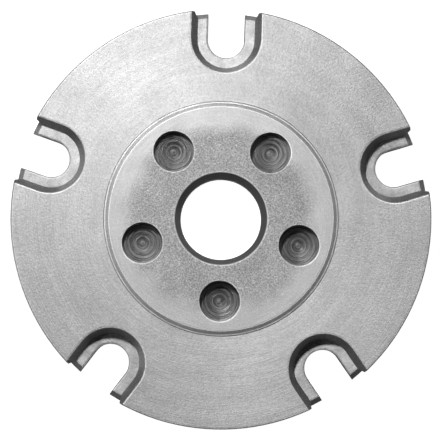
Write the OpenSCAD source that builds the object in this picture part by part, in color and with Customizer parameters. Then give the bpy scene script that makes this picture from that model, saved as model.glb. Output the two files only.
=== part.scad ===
// Slotted lathe chuck plate: a front plate with five wide tapered openings, a back plate with
// narrower clamp slots whose edges stand out as ledges, and a raised hub with a tapered bore and
// blind drive sockets. Cap screws and dowel pins hold the three together from the back.
// The origin is on the bore axis at the back face, +Z points out of the front, and slot 1 is at +Y.

/* [Plates] */
// Outside diameter of the front plate
front_plate_d = 160; // [158:1:176]
// Outside diameter of the back plate
back_plate_d = 159; // [157:1:176]
// Thickness of the front plate
front_t = 9; // [8.5:0.5:12]
// Thickness of the back plate
back_t = 10; // [9:0.5:14]
// Diameter at the bottom of the groove round the rim, where the plates meet
groove_d = 154.8; // [150:0.2:156]
// Height of the groove's slope on the front plate
groove_front_h = 5; // [1:0.5:7]
// Height of the groove's slope on the back plate
groove_back_h = 4.3; // [1:0.1:7]
// Chamfer on the outer edges of both plates
rim_chamfer = 0.5; // [0.2:0.1:1]
// Small chamfer on machined edges
edge_break = 0.3; // [0.1:0.05:0.4]

/* [Clamp slots] */
// Number of slots, and of sectors between them
slot_count = 5; // [4:1:6]
// Diameter of the circle through the centres of the slots' round ends
slot_circle_d = 138; // [134:1:142]
// Width of the slots through the back plate
slot_w = 14; // [12:1:16]
// Width of the front plate's openings at the ledges
opening_floor_w = 21.8; // [20:0.2:23]
// Width of the front plate's openings at the front face
opening_mouth_w = 27; // [25:0.5:29]

/* [Hub] */
// Diameter of the hub where it sits in the front plate
hub_d = 89.4; // [88.6:0.2:90]
// Height of the hub's flange above the front plate, at its outer edge
flange_h = 0.3; // [0.1:0.05:0.4]
// How far the flange's top rises from its outer edge to the foot of the boss
flange_rise = 0.12; // [0:0.02:0.2]
// Diameter of the boss at its foot
boss_foot_d = 87.8; // [86:0.2:88]
// Diameter of the boss at its top edge
boss_top_d = 85.4; // [82:0.2:87]
// Height of the boss above the front plate
boss_h = 1; // [0.7:0.1:3]
// Diameter of the spigot that centres the hub in the back plate
spigot_d = 56; // [52:1:58]
// Diameter of the bore's straight length
bore_d = 31; // [28:0.5:32]
// Diameter of the bore's tapered mouth at the front
bore_mouth_d = 35.6; // [33:0.2:36]

/* [Drive sockets] */
// Diameter of the circle through the sockets' centres
socket_circle_d = 62.5; // [61:0.5:64]
// Diameter of each socket
socket_d = 15.4; // [13:0.1:16]
// Depth of each socket's straight wall
socket_wall_h = 5.6; // [3:0.1:5.8]
// Small chamfer round each socket's mouth
socket_break = 0.15; // [0.05:0.05:0.4]
// Angle of the sockets from the middle of the sectors, in degrees
socket_clocking = 0.7; // [-2:0.1:2]
// Diameter of the flat ring that the pilot drill left in each socket's floor
pilot_d = 5.8; // [4:0.1:6]

/* [Fasteners] */
// Thread size of the screws that join the plates
plate_screw_d = 5; // [4:1:5]
// Diameter of the circle of plate screws
plate_screw_circle_d = 124; // [120:1:128]
// Angle of each plate screw from the middle of its sector, in degrees
plate_screw_spread = 13; // [10:0.5:13]
// Thread size of the screws that hold the hub
hub_screw_d = 6; // [5:1:6]
// Diameter of the circle of hub screws
hub_screw_circle_d = 73; // [72:0.5:74]
// Length of the screws under their heads
screw_length = 10; // [9:0.5:10]
// Diameter of the dowel pins
dowel_d = 6; // [4:0.5:6]
// Length of the dowel pins
dowel_length = 16; // [14:0.5:16]
// Diameter of the circle of dowel pins
dowel_circle_d = 136; // [132:1:140]
// Gap on the radius between a located piece and its seat
locating_gap = 0.05; // [0.02:0.01:0.1]

/* [Hidden] */
$fn = 128;
past = 1;                          // how far a cutter runs beyond the face that it cuts
pitch = 360 / slot_count;
face_z = back_t + front_t;         // the front plate's front face
boss_z = face_z + boss_h;          // the boss's front face
slot_reach = front_plate_d / 2;    // takes a slot out past the rim
hub_seat_d = hub_d + 2 * locating_gap;
head_recess = 0.3;                 // how far a screw head lies below the back face
drill_slope = tan(31);             // rise of a 118 degree drill point per mm of radius
thread_slack = 1;                  // tapped depth beyond a screw's end
dowel_recess = 0.5;                // how far a dowel's end lies below the back face
dowel_sectors = [0, 3];            // the sectors that hold a dowel

plate_screws = 2 * slot_count;

function slot_angle(k) = 90 + k * pitch;
function sector_angle(k) = slot_angle(k) + pitch / 2;
function plate_screw_angle(i) =
    sector_angle(floor((i - 1) / 2)) + (i % 2 == 0 ? 1 : -1) * plate_screw_spread;

// Sizes of a socket head cap screw of thread size d
function head_d(d) = 1.5 * d + 1;
function key_w(d) = d - 1;
function counterbore_d(d) = head_d(d) + 1;
function clearance_d(d) = 1.1 * d;

// Moves its children to a point on a circle about the bore axis
module on_circle(circle_d, angle)
    rotate([0, 0, angle]) translate([circle_d / 2, 0, 0]) children();

// A turned shape, from [radius, height] points
module turned(points) rotate_extrude() polygon(points);

// Cutter for a U slot that opens along +X. walls are [half width, height] points, low to high.
module u_cutter(walls) {
    last = len(walls) - 1;
    far_side = [for (i = [last:-1:0]) [-walls[i].x, walls[i].y]];
    rotate([0, 0, 90]) rotate_extrude(angle = 180)
        polygon(concat([[0, walls[0].y]], walls, [[0, walls[last].y]]));
    rotate([90, 0, 90]) linear_extrude(slot_reach) polygon(concat(walls, far_side));
}

// Cutter for a blind hole upward from z = low, with a drill point at its end
module blind_hole(d, low, high) {
    r = d / 2;
    turned([[0, low - past], [r, low - past], [r, high], [0, high + r * drill_slope]]);
}

// Cutter for a cap screw's counterbore and clearance hole through the back plate
module screw_hole(d) {
    bore_r = counterbore_d(d) / 2;
    seat_z = head_recess + d;
    hole_r = clearance_d(d) / 2;
    turned([
        [0, -past], [bore_r + edge_break + past, -past], [bore_r, edge_break],
        [bore_r, seat_z], [hole_r, seat_z], [hole_r, back_t + past], [0, back_t + past]
    ]);
}

// Cutter for a blind drive socket, down from the boss's face, with the steps that a pilot drill
// and a larger drill leave in its floor
module socket_cutter() {
    wall_r = socket_d / 2;
    land_r = pilot_d / 2;
    land_w = 0.5;
    land_z = -socket_wall_h - (wall_r - land_r) * drill_slope;
    pit_r = land_r - land_w;
    pit_z = land_z - 0.75;
    pit_floor_r = 0.62 * pit_r;
    cone_r = 0.5 * pit_r;
    cone_tip_z = land_z - 0.35;
    translate([0, 0, boss_z]) turned([
        [0, past], [wall_r + socket_break + past, past], [wall_r, -socket_break],
        [wall_r, -socket_wall_h], [land_r, land_z], [pit_r, land_z],
        [pit_floor_r, pit_z], [cone_r, pit_z], [0, cone_tip_z]
    ]);
}

module front_plate() {
    rim_r = front_plate_d / 2;
    seat_r = hub_seat_d / 2;
    slope = (opening_mouth_w / 2 - edge_break - opening_floor_w / 2) / (front_t - edge_break);
    color("lightgray") difference() {
        turned([
            [seat_r, back_t], [groove_d / 2, back_t], [rim_r, back_t + groove_front_h],
            [rim_r, face_z - rim_chamfer], [rim_r - rim_chamfer, face_z],
            [seat_r, face_z]
        ]);
        for (k = [0:slot_count - 1]) on_circle(slot_circle_d, slot_angle(k)) u_cutter([
            [opening_floor_w / 2 - past * slope, back_t - past],
            [opening_mouth_w / 2 - edge_break, face_z - edge_break],
            [opening_mouth_w / 2 + past, face_z + past]
        ]);
        for (i = [1:plate_screws]) on_circle(plate_screw_circle_d, plate_screw_angle(i))
            blind_hole(plate_screw_d, back_t,
                       head_recess + plate_screw_d + screw_length + thread_slack);
        for (k = dowel_sectors) on_circle(dowel_circle_d, sector_angle(k))
            cylinder(h = dowel_recess + dowel_length, d = dowel_d);
    }
}

module back_plate() {
    rim_r = back_plate_d / 2;
    seat_r = spigot_d / 2 + locating_gap;
    color("gainsboro") difference() {
        turned([
            [seat_r + edge_break, 0], [rim_r - rim_chamfer, 0], [rim_r, rim_chamfer],
            [rim_r, back_t - groove_back_h], [groove_d / 2, back_t], [seat_r, back_t],
            [seat_r, edge_break]
        ]);
        for (k = [0:slot_count - 1]) on_circle(slot_circle_d, slot_angle(k)) u_cutter([
            [slot_w / 2 + edge_break + past, -past], [slot_w / 2, edge_break],
            [slot_w / 2, back_t - edge_break], [slot_w / 2 + edge_break + past, back_t + past]
        ]);
        for (i = [1:plate_screws]) on_circle(plate_screw_circle_d, plate_screw_angle(i))
            screw_hole(plate_screw_d);
        for (k = [0:slot_count - 1]) on_circle(hub_screw_circle_d, slot_angle(k))
            screw_hole(hub_screw_d);
        for (k = dowel_sectors) on_circle(dowel_circle_d, sector_angle(k))
            translate([0, 0, -past]) cylinder(h = back_t + 2 * past, d = dowel_d);
    }
}

module hub() {
    spigot_r = spigot_d / 2;
    flange_r = hub_d / 2;
    flange_z = face_z + flange_h;
    bore_r = bore_d / 2;
    mouth_r = bore_mouth_d / 2;
    color("darkgray") difference() {
        turned([
            [bore_r + edge_break, 0], [spigot_r - edge_break, 0], [spigot_r, edge_break],
            [spigot_r, back_t], [flange_r, back_t], [flange_r, face_z],
            [flange_r - flange_h, flange_z], [boss_foot_d / 2, flange_z + flange_rise],
            [boss_top_d / 2, boss_z], [mouth_r, boss_z],
            [mouth_r - edge_break, boss_z - edge_break], [bore_r, back_t], [bore_r, edge_break]
        ]);
        for (k = [0:slot_count - 1]) {
            on_circle(socket_circle_d, sector_angle(k) + socket_clocking) socket_cutter();
            on_circle(hub_screw_circle_d, slot_angle(k))
                blind_hole(hub_screw_d, back_t,
                           head_recess + hub_screw_d + screw_length + thread_slack);
        }
    }
}

// A socket head cap screw of thread size d, head down, with its head at the back face
module cap_screw(d) {
    head_r = head_d(d) / 2;
    key_r = key_w(d) / 2 / cos(30);
    chamfer = 0.1 * d;
    end_z = d + screw_length;
    key_z = 0.5 * d;
    key_drill_r = 0.45 * key_w(d);
    key_drill_z = 0.62 * d;
    color("dimgray") translate([0, 0, head_recess]) difference() {
        turned([
            [0, 0], [head_r - chamfer, 0], [head_r, chamfer], [head_r, d], [d / 2, d],
            [d / 2, end_z - chamfer], [d / 2 - chamfer, end_z], [0, end_z]
        ]);
        translate([0, 0, -past]) cylinder(h = past + key_z, r = key_r, $fn = 6);
        turned([[0, -past], [key_r + past, -past], [key_r - chamfer, chamfer], [0, chamfer]]);
        turned([[0, key_z - past], [key_drill_r, key_z - past], [key_drill_r, key_z],
                [0, key_drill_z]]);
    }
}

module plate_screw(i) on_circle(plate_screw_circle_d, plate_screw_angle(i)) cap_screw(plate_screw_d);

module hub_screw(i) on_circle(hub_screw_circle_d, slot_angle(i - 1)) cap_screw(hub_screw_d);

module plate_dowel(i) {
    r = dowel_d / 2;
    chamfer = 0.12 * dowel_d;
    color("whitesmoke") on_circle(dowel_circle_d, sector_angle(dowel_sectors[i - 1]))
        translate([0, 0, dowel_recess]) turned([
            [0, 0], [r - chamfer, 0], [r, chamfer], [r, dowel_length - chamfer],
            [r - chamfer, dowel_length], [0, dowel_length]
        ]);
}

front_plate();
back_plate();
hub();
for (i = [1:plate_screws])
    plate_screw(i);
for (i = [1:slot_count])
    hub_screw(i);
for (i = [1:len(dowel_sectors)])
    plate_dowel(i);
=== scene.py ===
import math

import bpy
from mathutils import Matrix, Vector

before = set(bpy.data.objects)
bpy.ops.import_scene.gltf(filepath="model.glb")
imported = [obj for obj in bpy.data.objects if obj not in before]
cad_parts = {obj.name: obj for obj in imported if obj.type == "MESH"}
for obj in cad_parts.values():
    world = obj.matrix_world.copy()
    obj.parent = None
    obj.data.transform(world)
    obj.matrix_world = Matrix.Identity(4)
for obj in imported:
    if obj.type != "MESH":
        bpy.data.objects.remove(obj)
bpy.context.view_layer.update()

# The part's own sizes that its materials follow, in mm and degrees
SLOTS = 5
FIRST_SLOT = 90.0          # direction of slot 1
HALF_PITCH = 180.0 / SLOTS
SLOT_CIRCLE_R = 69.0       # where the middles of the slots' round ends lie
SLOT_R = 7.0
OPENING_R = 13.5           # the front plate's openings, at the front face
FRONT_R = 80.0
RIM_CHAMFER = 0.5
GROOVE_R = 77.4            # the groove's bottom, where the ledges end
EDGE_BREAK = 0.3
LEDGE_Z = 10.0
FACE_Z = 19.0
BOSS_Z = 20.0
BORE_MOUTH_R = 17.8
BOSS_R = 42.7              # the boss at its top edge
BOSS_FOOT_R = 43.9
FLANGE_R = 44.7
SOCKET_CIRCLE_R = 31.25
SOCKET_CLOCKING = 0.7
SOCKET_MOUTH_R = 7.85
SOCKET_WALL_H = 5.6

# Greys and roughnesses of the machined steel's zones
FRONT_GREY = 0.515
BACK_GREY = 0.54
PITTED_GREY = 0.54         # the hub's face round the bore
SMOOTH_GREY = 0.52         # the hub's face further out
# the chamfers' lighter grey is a painted highlight
EDGE_GREY_PAINTED_HIGHLIGHT = 0.75           # chamfers
# the walls' darker grey is painted shade
WALL_GREY_PAINTED_SHADE = 0.33           # the walls of slots and openings
RIM_GREY = 0.62            # the round outside
# the hub's darker grey for the walls of its bore and sockets is painted shade
BORE_GREY_PAINTED_SHADE = 0.17
SOCKET_GREY = 0.23
PLATE_ROUGH = 0.6
PITTED_ROUGH = 0.68
SMOOTH_ROUGH = 0.6
EDGE_ROUGH = 0.45
WALL_ROUGH = 0.75
RIM_ROUGH = 0.55
SOCKET_ROUGH = 0.52
BORE_ROUGH = 0.6

# Width of the strip that use has rounded along each sharp edge, in mm. On the front plate and the hub the
# strip is also made brighter, partly as wear and partly as a painted highlight.
EDGE_STRIP = 0.45
# How far the bumps of machined and of ground steel stand out, in m
MACHINED_BUMP = 0.00015
GROUND_BUMP = 0.00003

# The room's grey, from straight below at 0 to straight above at 1
ROOM = [(0.0, 0.30), (0.25, 0.25), (0.5, 0.25), (0.62, 0.08), (0.75, 0.01)]
# Lamps: tilt off the axis and turn about it in degrees, distance, width and height in m, power in W
LAMPS = {
    "key": (20.5, 114, 0.38, 0.028, 0.028, 0.95),
    "fill": (50, 130, 0.8, 0.3, 0.3, 0.7),
    "left": (50, 190, 0.8, 0.3, 0.3, 0.75),
    "right": (50, 15, 0.8, 0.3, 0.3, 0.25),
    "edge": (82, 115, 1.1, 0.5, 0.3, 0.9),
    "below": (176, 60, 0.8, 0.3, 0.3, 1.2),
}
FLOOR_SIZE = 60.0
FLOOR_DROP = 0.0004        # how far the floor lies under the part, in m
FLOOR_GREY = 0.4

# The camera: its turn about the part's axis in degrees, its focal length in mm, its height in m, and
# how far it stands, and its aim lies, below and to the left of the axis, in m
CAMERA_TURN = 1.65
CAMERA_LENS = 215.8
CAMERA_HEIGHT = 1.020
CAMERA_DOWN, CAMERA_LEFT = 0.0315, 0.0046
AIM_HEIGHT = 0.019
AIM_DOWN, AIM_LEFT = 0.00050, 0.00037


class Steel:
    """Builds one procedural metal from nodes. Places are in mm, in the part's own frame."""

    def __init__(self, name, **uniform):
        self.mat = bpy.data.materials.new(name)
        self.mat.use_nodes = True
        self.tree = self.mat.node_tree
        self.shader = self.tree.nodes["Principled BSDF"]
        for socket, value in uniform.items():
            self.shader.inputs[socket].default_value = value
        coords = self.node("ShaderNodeTexCoord").outputs["Object"]
        self.place = self.vector("MULTIPLY", coords, (1000, 1000, 1000))
        self.x, self.y, self.z = self.split(self.place)
        flat = self.vector("MULTIPLY", self.place, (1, 1, 0))
        self.r = self.vector("LENGTH", flat)
        self.round = self.vector("NORMALIZE", flat)
        facing = self.split(self.node("ShaderNodeNewGeometry").outputs["True Normal"])[2]
        self.up = self.math("ABSOLUTE", facing)

    def node(self, kind, **settings):
        n = self.tree.nodes.new(kind)
        for key, value in settings.items():
            setattr(n, key, value)
        return n

    def put(self, socket, value):
        if isinstance(value, bpy.types.NodeSocket):
            self.tree.links.new(value, socket)
        else:
            socket.default_value = value

    def split(self, value):
        n = self.node("ShaderNodeSeparateXYZ")
        self.put(n.inputs[0], value)
        return n.outputs

    def join(self, x, y, z=0.0):
        n = self.node("ShaderNodeCombineXYZ")
        for socket, value in zip(n.inputs, (x, y, z)):
            self.put(socket, value)
        return n.outputs[0]

    def vector(self, operation, a, b=None):
        n = self.node("ShaderNodeVectorMath", operation=operation)
        self.put(n.inputs[0], a)
        if b is not None:
            self.put(n.inputs[1], b)
        return n.outputs["Value" if operation == "LENGTH" else "Vector"]

    def math(self, operation, *values):
        n = self.node("ShaderNodeMath", operation=operation)
        for socket, value in zip(n.inputs, values):
            self.put(socket, value)
        return n.outputs[0]

    def add(self, a, b):
        return self.math("ADD", a, b)

    def times(self, a, b):
        return self.math("MULTIPLY", a, b)

    def past(self, value, limit):
        """How far value lies beyond limit."""
        return self.add(value, -limit)

    def short(self, value, limit):
        """How far value lies short of limit."""
        return self.add(self.times(value, -1.0), limit)

    def ramp(self, value, low, high, to_low=0.0, to_high=1.0):
        """value from low..high mapped smoothly to to_low..to_high."""
        n = self.node("ShaderNodeMapRange", interpolation_type="SMOOTHSTEP")
        for socket, v in zip(n.inputs, (value, low, high, to_low, to_high)):
            self.put(socket, v)
        return n.outputs[0]

    def blend(self, a, b, t):
        """a where t is 0, and b where it is 1."""
        n = self.node("ShaderNodeMix", data_type="FLOAT")
        self.put(n.inputs[0], t)
        self.put(n.inputs[2], a)
        self.put(n.inputs[3], b)
        return n.outputs[0]

    def noise(self, where, per_mm, detail=2.0, rough=0.5):
        """Noise about 0, mostly within -0.3 to 0.3."""
        n = self.node("ShaderNodeTexNoise")
        self.put(n.inputs["Vector"], where)
        n.inputs["Scale"].default_value = per_mm
        n.inputs["Detail"].default_value = detail
        n.inputs["Roughness"].default_value = rough
        return self.add(n.outputs["Fac"], -0.5)

    def cells(self, where, per_mm):
        """A random value about 0 for each small cell."""
        n = self.node("ShaderNodeTexVoronoi")
        self.put(n.inputs["Vector"], where)
        n.inputs["Scale"].default_value = per_mm
        return self.add(self.split(n.outputs["Color"])[0], -0.5)

    def rings(self, per_mm, change=3.0):
        """Marks of a cutting tool round the axis, which change slowly along each ring."""
        around = self.split(self.vector("MULTIPLY", self.round, (change, change, change)))
        where = self.join(self.times(self.r, per_mm), around[0], around[1])
        return self.noise(where, 1.0, detail=3.0)

    def factor(self, *parts):
        """The product of 1 + gain * noise over the (noise, gain) parts."""
        product = None
        for value, gain in parts:
            f = self.add(self.times(value, gain), 1.0)
            product = f if product is None else self.times(product, f)
        return product

    def folded(self, first):
        """The angle about the axis, and the same from the nearest of the places from first on."""
        angle = self.math("ARCTAN2", self.y, self.x)
        half = math.radians(HALF_PITCH)
        return angle, self.math("WRAP", self.past(angle, math.radians(first)), half, -half)

    def wear_and_highlight(self, *inward):
        """1 at edges, falling to 0 across the edge strip, from distances inward from them in mm."""
        near = None
        for distance in inward:
            one = self.ramp(distance, 0.0, EDGE_STRIP, 1.0, 0.0)
            near = one if near is None else self.math("MAXIMUM", near, one)
        return self.times(near, self.ramp(self.up, 0.95, 0.99))

    def zones(self):
        """Masks for steep walls, and for chamfers near 45 degrees."""
        wall = self.ramp(self.up, 0.40, 0.60, 1.0, 0.0)
        edge = self.times(self.ramp(self.up, 0.60, 0.68), self.ramp(self.up, 0.74, 0.80, 1.0, 0.0))
        return wall, edge

    def grey(self, value):
        n = self.node("ShaderNodeCombineColor")
        for i in range(3):
            self.put(n.inputs[i], value)
        return n.outputs[0]

    def turned_tangent(self):
        """Stretches highlights across the marks of a tool that went round the axis."""
        tangent = self.node("ShaderNodeTangent", direction_type="RADIAL", axis="Z").outputs[0]
        self.put(self.shader.inputs["Tangent"], tangent)
        self.shader.inputs["Anisotropic Rotation"].default_value = 0.25
        return tangent

    def finish(self, colour, roughness, height, distance):
        self.put(self.shader.inputs["Base Color"], self.grey(colour))
        self.put(self.shader.inputs["Roughness"], roughness)
        bump = self.node("ShaderNodeBump")
        bump.inputs["Distance"].default_value = distance
        self.put(bump.inputs["Height"], height)
        self.put(self.shader.inputs["Normal"], bump.outputs[0])
        return self.mat


def plate_steel(name, face, slot_half, rim_r, wear_and_highlight_gain, stain):
    """Turned steel. Its grey is face, and its edges along slots and rim are made brighter by the given gain,
    partly as wear and partly as a painted highlight.
    """
    s = Steel(name, Metallic=1.0, Anisotropic=0.5)
    s.turned_tangent()
    fine = s.rings(3.0, change=4.0)
    broad = s.rings(0.3, change=1.2)
    grain = s.noise(s.place, 1.5, detail=3.0, rough=0.7)
    specks = s.cells(s.place, 2.0)
    cloud = s.noise(s.place, 0.05, detail=3.0)
    wall, edge = s.zones()
    less_at_back = s.ramp(s.z, 4.0, 6.0, 0.3, 1.0)
    stains = s.times(s.noise(s.place, 0.16, detail=4.0, rough=0.6), less_at_back)
    marks = s.factor((fine, 0.35), (broad, 0.25), (grain, 0.8), (specks, 0.2), (cloud, 0.4), (stains, stain))
    colour = s.times(marks, face)

    # distance from the middle line of the nearest slot, or from the middle of its round end
    off = s.folded(FIRST_SLOT)[1]
    along = s.times(s.r, s.math("COSINE", off))
    past_end = s.math("MINIMUM", s.past(along, SLOT_CIRCLE_R), 0.0)
    from_slot = s.vector("LENGTH", s.join(past_end, s.times(s.r, s.math("SINE", off))))
    wear_and_highlight = s.wear_and_highlight(s.past(from_slot, slot_half), s.short(s.r, rim_r))
    # brighter along the edges: partly wear, partly a painted highlight
    colour = s.times(colour, s.add(s.times(wear_and_highlight, wear_and_highlight_gain), 1.0))

    streaks = s.noise(s.vector("MULTIPLY", s.place, (1, 1, 0.12)), 2.0, detail=3.0)
    rim = s.times(s.ramp(s.r, 75.0, 77.0), s.ramp(s.up, 0.1, 0.2, 1.0, 0.0))
    # steep walls take a darker grey that is painted shade, with streaks and grain; the rim keeps its own
    # grey
    steep_colour = s.times(s.factor((streaks, 1.2), (grain, 0.8)), s.blend(WALL_GREY_PAINTED_SHADE, RIM_GREY, rim))
    # chamfers take a lighter grey that is a painted highlight
    colour = s.blend(s.blend(colour, EDGE_GREY_PAINTED_HIGHLIGHT, edge), steep_colour, wall)
    flat_rough = s.blend(PLATE_ROUGH, EDGE_ROUGH, edge)
    roughness = s.blend(flat_rough, s.blend(WALL_ROUGH, RIM_ROUGH, rim), wall)
    roughness = s.times(s.factor((grain, 0.5)), roughness)
    height = s.add(s.add(s.times(fine, 0.4), s.times(grain, 0.6)), s.times(wear_and_highlight, -0.4))
    return s.finish(colour, roughness, height, MACHINED_BUMP)


def painted_foot_lines(s):
    """Painted shade at the boss's foot and in the gap round the flange, and a painted highlight on the
    flange's edge between them.
    """
    foot_shade = s.ramp(s.math("ABSOLUTE", s.past(s.r, BOSS_FOOT_R - 0.3)), 0.0, 0.4, -0.15, 0.0)
    brink_highlight = s.ramp(s.math("ABSOLUTE", s.past(s.r, FLANGE_R - 0.5)), 0.05, 0.3, 0.5, 0.0)
    joint_shade = s.ramp(s.r, FLANGE_R - 0.32, FLANGE_R - 0.2, 0.0, -0.45)
    return s.add(s.add(s.add(foot_shade, brink_highlight), joint_shade), 1.0)


def hub_steel():
    """Ground steel, pitted round the bore, with sockets that were bored about their own axes."""
    s = Steel("hub_ground", Metallic=1.0, Anisotropic=0.33)
    tangent = s.turned_tangent()
    fine = s.rings(3.0, change=5.0)
    grain = s.noise(s.place, 1.8, detail=3.0, rough=0.8)
    specks = s.cells(s.place, 2.8)
    cloud = s.noise(s.place, 0.09, detail=3.0)
    wall, edge = s.zones()
    outer = s.ramp(s.add(s.r, s.times(cloud, 8.0)), 29.0, 39.0)
    pitted = s.times(s.factor((grain, 2.2), (specks, 0.6), (cloud, 0.4)), PITTED_GREY)
    smooth = s.times(s.factor((grain, 1.0), (specks, 0.15), (fine, 0.4), (cloud, 0.3)), SMOOTH_GREY)

    # dx, dy and rho are the place in the nearest socket, from its own axis
    angle, off = s.folded(FIRST_SLOT - HALF_PITCH + SOCKET_CLOCKING)
    at = s.math("SUBTRACT", angle, off)
    dx = s.add(s.x, s.times(s.math("COSINE", at), -SOCKET_CIRCLE_R))
    dy = s.add(s.y, s.times(s.math("SINE", at), -SOCKET_CIRCLE_R))
    rho = s.vector("LENGTH", s.join(dx, dy))
    turned = s.join(s.times(rho, 2.0), s.times(s.add(dx, at), 0.07), s.times(s.add(dy, at), 0.07))
    tool = s.noise(turned, 1.0, detail=3.0, rough=0.7)
    floor_z = BOSS_Z - SOCKET_WALL_H
    over_back = s.ramp(s.z, LEDGE_Z + 0.1, LEDGE_Z + 0.3)
    between = s.times(over_back, s.ramp(s.z, floor_z + 0.02, floor_z + 0.2, 1.0, 0.0))
    in_socket = s.times(s.ramp(rho, SOCKET_MOUTH_R - 0.1, SOCKET_MOUTH_R, 1.0, 0.0), between)
    own = s.node("ShaderNodeMix", data_type="VECTOR")
    s.put(own.inputs[0], in_socket)
    s.put(own.inputs[4], tangent)
    s.put(own.inputs[5], s.vector("NORMALIZE", s.join(s.times(dy, -1.0), dx)))
    s.put(s.shader.inputs["Tangent"], own.outputs[1])

    wear_and_highlight = s.wear_and_highlight(s.short(s.r, BOSS_R), s.past(rho, SOCKET_MOUTH_R), s.past(s.r, BORE_MOUTH_R))
    wear_and_highlight = s.times(wear_and_highlight, s.ramp(s.r, BOSS_R, BOSS_R + 0.1, 1.0, 0.0))
    wear_and_highlight = s.times(wear_and_highlight, s.ramp(s.z, FACE_Z + 0.3, FACE_Z + 0.5))
    # brighter along the boss's, sockets' and bore's edges: partly wear, partly a painted highlight
    top = s.times(s.blend(pitted, smooth, outer), s.add(s.times(wear_and_highlight, 0.7), 1.0))
    # the walls of the bore and sockets take a darker grey that is painted shade
    steep_colour = s.times(s.factor((grain, 1.0)), BORE_GREY_PAINTED_SHADE)
    # chamfers take a lighter grey that is a painted highlight
    colour = s.blend(s.blend(top, EDGE_GREY_PAINTED_HIGHLIGHT, edge), steep_colour, wall)
    # painted shade and a painted highlight in rings round the boss's foot
    colour = s.times(colour, painted_foot_lines(s))
    bored = s.times(s.factor((tool, 4.0), (grain, 1.0)), SOCKET_GREY)
    colour = s.blend(colour, bored, in_socket)
    flat = s.blend(s.blend(PITTED_ROUGH, SMOOTH_ROUGH, outer), SOCKET_ROUGH, in_socket)
    roughness = s.times(s.factor((grain, 0.5)), s.blend(flat, BORE_ROUGH, wall))
    height = s.add(s.times(fine, s.blend(0.1, 0.4, outer)), s.times(grain, s.blend(2.0, 0.6, outer)))
    height = s.add(height, s.times(wear_and_highlight, -0.4))
    height = s.blend(height, s.times(tool, 4.0), in_socket)
    return s.finish(colour, roughness, height, MACHINED_BUMP)


def black_steel():
    """Black oxide, for the screws."""
    s = Steel("black_oxide", Metallic=0.0)
    grain = s.noise(s.place, 2.0, detail=4.0, rough=0.7)
    cloud = s.noise(s.place, 0.3, detail=3.0)
    colour = s.times(s.factor((cloud, 1.5), (grain, 1.5)), 0.035)
    return s.finish(colour, s.times(s.factor((cloud, 1.0)), 0.42), grain, GROUND_BUMP)


def dowel_steel():
    """Bright steel, ground round the dowels."""
    s = Steel("dowel_ground", Metallic=1.0)
    grain = s.noise(s.vector("MULTIPLY", s.place, (1, 1, 6)), 2.0, detail=4.0, rough=0.6)
    colour = s.times(s.factor((grain, 0.6)), 0.7)
    return s.finish(colour, s.times(s.factor((grain, 0.8)), 0.25), grain, GROUND_BUMP)


def paint_parts():
    front = plate_steel("front_turned", FRONT_GREY, slot_half=OPENING_R,
                        rim_r=FRONT_R - RIM_CHAMFER, wear_and_highlight_gain=0.5, stain=0.15)
    back = plate_steel("back_turned", BACK_GREY, slot_half=SLOT_R + EDGE_BREAK,
                       rim_r=GROOVE_R, wear_and_highlight_gain=0.0, stain=1.2)
    plates = {"front_plate": front, "back_plate": back, "hub": hub_steel()}
    black, dowel = black_steel(), dowel_steel()
    for name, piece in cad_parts.items():
        fastener = dowel if "dowel" in name else black
        piece.data.materials.clear()
        piece.data.materials.append(plates.get(name, fastener))


def stage_floor():
    """A glowing pale floor that shows from above only, and neither lights nor shades the part."""
    bpy.ops.mesh.primitive_plane_add(size=FLOOR_SIZE, location=(0, 0, -FLOOR_DROP))
    floor = bpy.context.object
    floor.name = "floor"
    mat = bpy.data.materials.new("floor")
    mat.use_nodes = True
    nodes, links = mat.node_tree.nodes, mat.node_tree.links
    nodes.clear()
    out = nodes.new("ShaderNodeOutputMaterial")
    glow = nodes.new("ShaderNodeEmission")
    glow.inputs["Color"].default_value = (1, 1, 1, 1)
    glow.inputs["Strength"].default_value = 1.0
    paint = nodes.new("ShaderNodeBsdfDiffuse")
    paint.inputs["Color"].default_value = (FLOOR_GREY, FLOOR_GREY, FLOOR_GREY, 1)
    both = nodes.new("ShaderNodeAddShader")
    links.new(glow.outputs[0], both.inputs[0])
    links.new(paint.outputs[0], both.inputs[1])
    under = nodes.new("ShaderNodeNewGeometry").outputs["Backfacing"]
    clear = nodes.new("ShaderNodeBsdfTransparent")
    mix = nodes.new("ShaderNodeMixShader")
    links.new(under, mix.inputs[0])
    links.new(both.outputs[0], mix.inputs[1])
    links.new(clear.outputs[0], mix.inputs[2])
    links.new(mix.outputs[0], out.inputs[0])
    floor.data.materials.append(mat)
    floor.visible_glossy = False
    floor.visible_diffuse = False
    floor.visible_shadow = False


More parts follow.
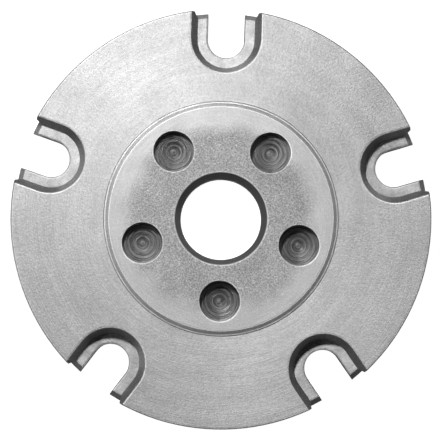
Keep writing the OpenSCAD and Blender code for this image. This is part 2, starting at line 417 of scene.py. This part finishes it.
def surroundings():
    """A room that is pale low down and dark above, and plain white where the camera sees it."""
    world = bpy.data.worlds.new("studio")
    bpy.context.scene.world = world
    world.use_nodes = True
    nodes, links = world.node_tree.nodes, world.node_tree.links
    nodes.clear()
    out = nodes.new("ShaderNodeOutputWorld")
    coords = nodes.new("ShaderNodeTexCoord")
    parts = nodes.new("ShaderNodeSeparateXYZ")
    links.new(coords.outputs["Generated"], parts.inputs[0])
    to_unit = nodes.new("ShaderNodeMapRange")
    to_unit.inputs[1].default_value = -1
    links.new(parts.outputs["Z"], to_unit.inputs[0])
    ramp = nodes.new("ShaderNodeValToRGB")
    while len(ramp.color_ramp.elements) < len(ROOM):
        ramp.color_ramp.elements.new(0.5)
    for e, (at, grey) in zip(ramp.color_ramp.elements, ROOM):
        e.position = at
        e.color = (grey, grey, grey, 1)
    links.new(to_unit.outputs[0], ramp.inputs[0])
    room = nodes.new("ShaderNodeBackground")
    links.new(ramp.outputs[0], room.inputs[0])
    seen = nodes.new("ShaderNodeBackground")
    seen.inputs[0].default_value = (1, 1, 1, 1)
    ray = nodes.new("ShaderNodeLightPath")
    mix = nodes.new("ShaderNodeMixShader")
    links.new(ray.outputs["Is Camera Ray"], mix.inputs[0])
    links.new(room.outputs[0], mix.inputs[1])
    links.new(seen.outputs[0], mix.inputs[2])
    links.new(mix.outputs[0], out.inputs[0])


def softbox(name, tilt, turn, far, width, height, power):
    """A lamp that faces the part from far metres, tilt degrees off its axis towards turn."""
    data = bpy.data.lights.new(name, "AREA")
    data.shape = "RECTANGLE"
    data.size, data.size_y, data.energy = width, height, power
    light = bpy.data.objects.new(name, data)
    bpy.context.scene.collection.objects.link(light)
    t, a = math.radians(tilt), math.radians(turn)
    place = Vector((math.sin(t) * math.cos(a), math.sin(t) * math.sin(a), math.cos(t))) * far
    light.location = place
    light.rotation_euler = (-place).to_track_quat("-Z", "Y").to_euler()
    light.visible_camera = False


def camera():
    """Looks down at the front face, from a little below its middle, at its place in the frame."""
    data = bpy.data.cameras.new("camera")
    data.lens, data.sensor_width, data.clip_start = CAMERA_LENS, 36, 0.01
    cam = bpy.data.objects.new("camera", data)
    bpy.context.scene.collection.objects.link(cam)
    turn = math.radians(CAMERA_TURN)
    up = Vector((-math.sin(turn), math.cos(turn), 0))
    side = up.cross(Vector((0, 0, 1)))
    cam.location = Vector((0, 0, CAMERA_HEIGHT)) - CAMERA_DOWN * up - CAMERA_LEFT * side
    aim = Vector((0, 0, AIM_HEIGHT)) - AIM_LEFT * side - AIM_DOWN * up
    away = (cam.location - aim).normalized()
    right = up.cross(away).normalized()
    cam.rotation_mode = "QUATERNION"
    cam.rotation_quaternion = Matrix((right, away.cross(right), away)).transposed().to_quaternion()
    bpy.context.scene.camera = cam


paint_parts()
stage_floor()
surroundings()
for name, settings in LAMPS.items():
    softbox(name, *settings)
camera()
bpy.context.scene.view_settings.view_transform = "Standard"
